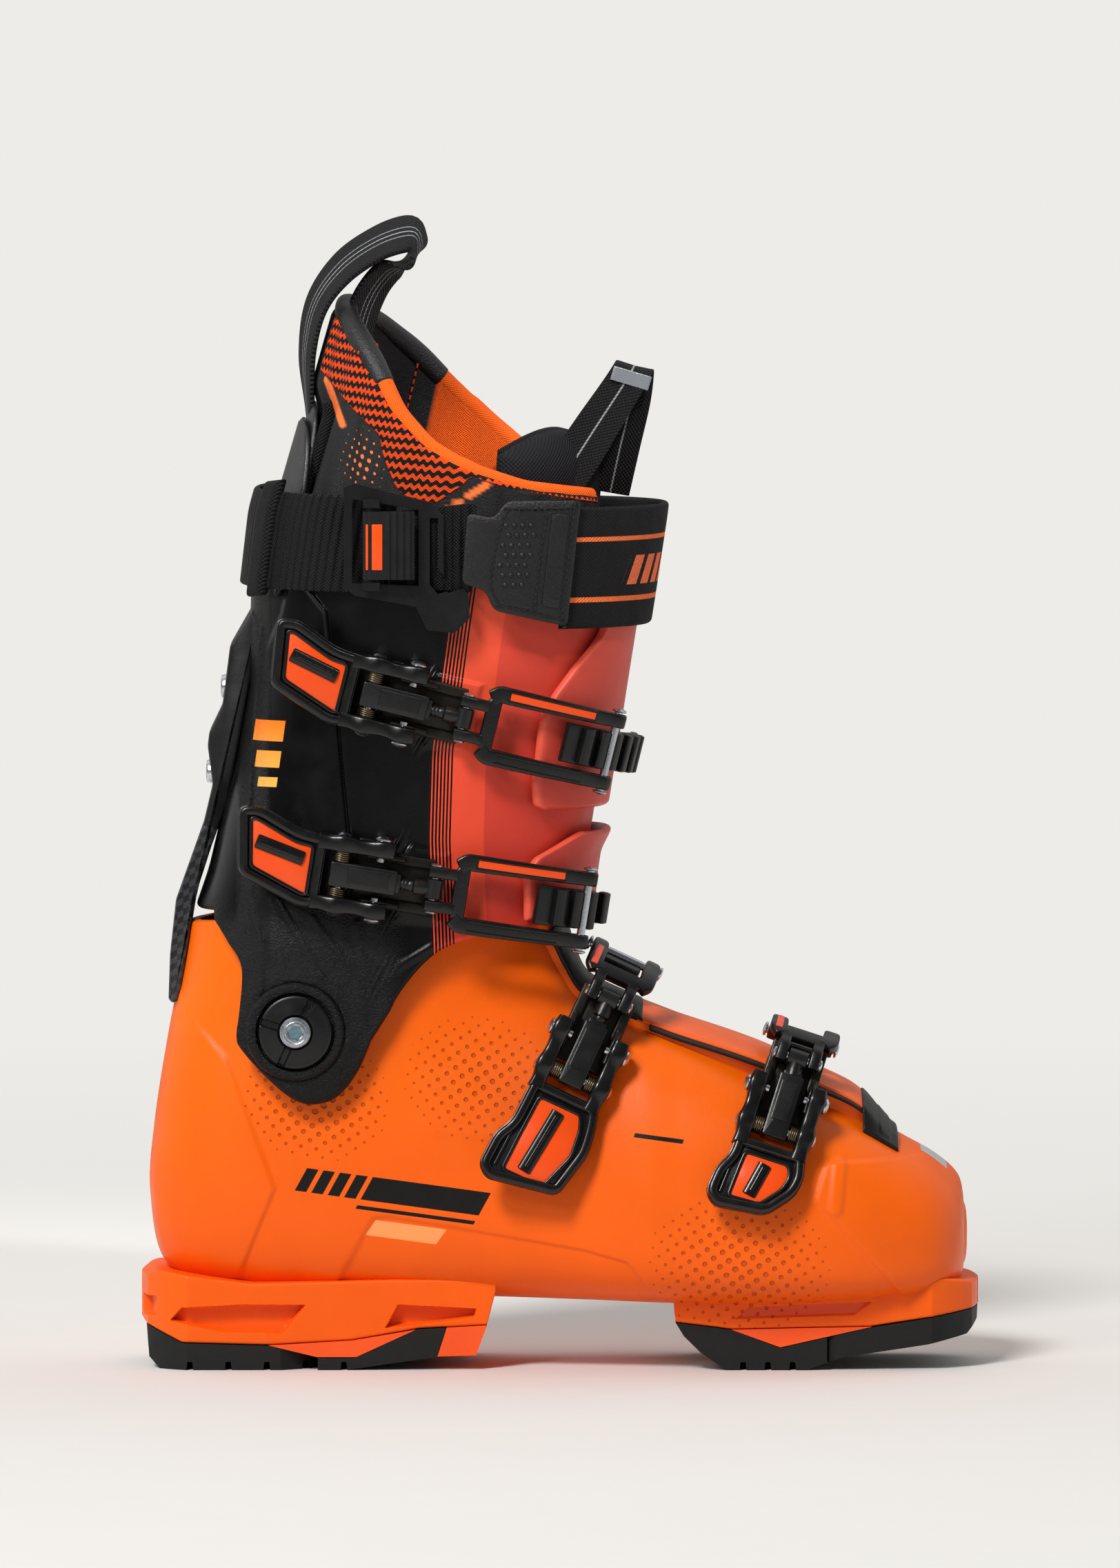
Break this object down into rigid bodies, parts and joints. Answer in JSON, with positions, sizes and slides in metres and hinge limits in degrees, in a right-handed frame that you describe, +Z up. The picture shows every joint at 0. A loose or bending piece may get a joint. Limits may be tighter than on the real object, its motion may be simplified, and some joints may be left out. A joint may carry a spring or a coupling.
{
  "type": "alpine ski boot",
  "caption": "Right alpine ski boot: overlap shell, hinged cuff, micro-adjust buckles with ladders, power strap, walking sole plates and removable liner.",
  "frame": {"origin": "mid-sole mark: half way along the sole, on its centre line, at ground level", "axes": "+X to the toe, +Z up, -Y the outer (buckle) side"},
  "size_m": [0.305, 0.1275, 0.4154],
  "materials": {
    "orange_shell": "satin injection-moulded polyurethane",
    "cuff_plastic": "satin black moulding with a translucent red front",
    "soft_black": "matte thermoplastic rubber",
    "dark_plastic": "matte",
    "vivid_plate": "bright orange moulding",
    "tread_rubber": "moulded tread rubber",
    "steel": "zinc-plated steel",
    "black_plastic": "moulded nylon",
    "lever_alloy": "satin black coated alloy",
    "carbon_plate": "woven carbon under lacquer",
    "grey_plastic": "satin",
    "liner_fabric": "black knit, rubber and foam laminate",
    "liner_lining": "brushed orange lining",
    "webbing": "woven nylon webbing"
  },
  "bodies": {
    "lower_boot": {"lower_shell": "orange_shell", "overlap_gasket": "soft_black", "toe_cap": "soft_black", "boot_board": "dark_plastic", "heel_sole_plate": "vivid_plate", "heel_tread": "tread_rubber", "toe_sole_plate": "vivid_plate", "toe_tread": "tread_rubber", "sole_screws": "steel", "pivot_discs": "black_plastic", "pivot_screws": "steel", "shell_ladders": "black_plastic", "liner_foot": "liner_fabric", "footbed": "liner_lining", "toe_base": "black_plastic", "instep_base": "black_plastic"},
    "upper_cuff": {"cuff": "cuff_plastic", "rear_spine": "carbon_plate", "spine_screws": "steel", "rear_spoiler": "grey_plastic", "cuff_ladders": "black_plastic", "liner_cuff": "liner_fabric", "liner_tongue": "liner_fabric", "rear_pull_loop": "webbing", "tongue_pull_loop": "webbing", "strap_band": "webbing", "strap_webbing": "webbing", "ankle_base": "black_plastic", "shin_base": "black_plastic"},
    "strap_hook": {"strap_hook_frame": "black_plastic"},
    "strap_cam": {"strap_cam_lever": "black_plastic"},
    "shin_lever_arm": {"shin_lever": "lever_alloy", "shin_lever_insert": "vivid_plate", "shin_springs": "steel"},
    "shin_adjuster_body": {"shin_adjuster": "lever_alloy"},
    "shin_rod_body": {"shin_rod": "lever_alloy"},
    "shin_bail_body": {"shin_bail": "lever_alloy", "shin_bail_pins": "steel"},
    "ankle_lever_arm": {"ankle_lever": "lever_alloy", "ankle_lever_insert": "vivid_plate", "ankle_springs": "steel"},
    "ankle_adjuster_body": {"ankle_adjuster": "lever_alloy"},
    "ankle_rod_body": {"ankle_rod": "lever_alloy"},
    "ankle_bail_body": {"ankle_bail": "lever_alloy", "ankle_bail_pins": "steel"},
    "instep_lever_arm": {"instep_lever": "lever_alloy", "instep_lever_insert": "vivid_plate", "instep_springs": "steel"},
    "instep_adjuster_body": {"instep_adjuster": "lever_alloy"},
    "instep_rod_body": {"instep_rod": "lever_alloy"},
    "instep_bail_body": {"instep_bail": "lever_alloy", "instep_bail_pins": "steel"},
    "toe_lever_arm": {"toe_lever": "lever_alloy", "toe_lever_insert": "vivid_plate", "toe_springs": "steel"},
    "toe_adjuster_body": {"toe_adjuster": "lever_alloy"},
    "toe_rod_body": {"toe_rod": "lever_alloy"},
    "toe_bail_body": {"toe_bail": "lever_alloy", "toe_bail_pins": "steel"}
  },
  "joints": [
    {"name": "cuff_flex", "type": "hinge", "parent": "lower_boot", "child": "upper_cuff", "pos_m": [-0.0958, 0, 0.1244], "axis": [0, 1, 0], "range_deg": [-1.5, 1.5]},
    {"name": "shin_lever_open", "type": "hinge", "parent": "upper_cuff", "child": "shin_lever_arm", "pos_m": [-0.0546, -0.0567, 0.2436], "axis": [0.2419, 0, 0.9703], "range_deg": [0, 110]},
    {"name": "shin_adjuster_swing", "type": "hinge", "parent": "shin_lever_arm", "child": "shin_adjuster_body", "pos_m": [-0.06818, -0.0567, 0.24699], "axis": [0.2419, 0, 0.9703], "range_deg": [-111, 1]},
    {"name": "shin_rod_thread", "type": "slide", "parent": "shin_adjuster_body", "child": "shin_rod_body", "axis": [0.9703, 0, -0.2419], "range_m": [0, 0.004]},
    {"name": "shin_bail_swing", "type": "hinge", "parent": "shin_rod_body", "child": "shin_bail_body", "pos_m": [-0.03481, -0.0567, 0.23866], "axis": [-0.2419, 0, -0.9703], "range_deg": [0, 75]},
    {"name": "ankle_lever_open", "type": "hinge", "parent": "upper_cuff", "child": "ankle_lever_arm", "pos_m": [-0.0659, -0.0543, 0.1798], "axis": [0.1564, 0, 0.9877], "range_deg": [0, 110]},
    {"name": "ankle_adjuster_swing", "type": "hinge", "parent": "ankle_lever_arm", "child": "ankle_adjuster_body", "pos_m": [-0.07973, -0.0543, 0.18199], "axis": [0.1564, 0, 0.9877], "range_deg": [-111, 1]},
    {"name": "ankle_rod_thread", "type": "slide", "parent": "ankle_adjuster_body", "child": "ankle_rod_body", "axis": [0.9877, 0, -0.1564], "range_m": [0, 0.004]},
    {"name": "ankle_bail_swing", "type": "hinge", "parent": "ankle_rod_body", "child": "ankle_bail_body", "pos_m": [-0.04575, -0.0543, 0.17661], "axis": [-0.1564, 0, -0.9877], "range_deg": [0, 75]},
    {"name": "instep_lever_open", "type": "hinge", "parent": "lower_boot", "child": "instep_lever_arm", "pos_m": [0.0104, -0.0452, 0.1203], "axis": [-0.9063, 0, 0.4226], "range_deg": [0, 110]},
    {"name": "instep_adjuster_swing", "type": "hinge", "parent": "instep_lever_arm", "child": "instep_adjuster_body", "pos_m": [0.00461, -0.04811, 0.10789], "axis": [-0.9063, 0, 0.4226], "range_deg": [-111, 1]},
    {"name": "instep_rod_thread", "type": "slide", "parent": "instep_adjuster_body", "child": "instep_rod_body", "axis": [0.4134, 0.2079, 0.8865], "range_m": [0, 0.004]},
    {"name": "instep_bail_swing", "type": "hinge", "parent": "instep_rod_body", "child": "instep_bail_body", "pos_m": [0.01763, -0.04156, 0.13581], "axis": [0.9063, 0, -0.4226], "range_deg": [0, 75]},
    {"name": "toe_lever_open", "type": "hinge", "parent": "lower_boot", "child": "toe_lever_arm", "pos_m": [0.082, -0.0465, 0.1015], "axis": [-0.9511, 0, 0.309], "range_deg": [0, 110]},
    {"name": "toe_adjuster_swing", "type": "hinge", "parent": "toe_lever_arm", "child": "toe_adjuster_body", "pos_m": [0.07794, -0.05129, 0.08899], "axis": [-0.9511, 0, 0.309], "range_deg": [-111, 1]},
    {"name": "toe_rod_thread", "type": "slide", "parent": "toe_adjuster_body", "child": "toe_rod_body", "axis": [0.2904, 0.342, 0.8937], "range_m": [0, 0.004]},
    {"name": "toe_bail_swing", "type": "hinge", "parent": "toe_rod_body", "child": "toe_bail_body", "pos_m": [0.08607, -0.04171, 0.11401], "axis": [0.9511, 0, -0.309], "range_deg": [0, 75]},
    {"name": "strap_hook_swing", "type": "hinge", "parent": "upper_cuff", "child": "strap_hook", "pos_m": [-0.078, -0.057, 0.3], "axis": [0, 0, -1], "range_deg": [0, 40]},
    {"name": "strap_cam_flip", "type": "hinge", "parent": "strap_hook", "child": "strap_cam", "pos_m": [-0.068, -0.0628, 0.3], "axis": [0, 0, -1], "range_deg": [0, 95]}
  ],
  "couplings": [
    {"joint": "shin_adjuster_swing", "follows": "shin_lever_open", "ratio": -1},
    {"joint": "ankle_adjuster_swing", "follows": "ankle_lever_open", "ratio": -1},
    {"joint": "instep_adjuster_swing", "follows": "instep_lever_open", "ratio": -1},
    {"joint": "toe_adjuster_swing", "follows": "toe_lever_open", "ratio": -1}
  ]
}
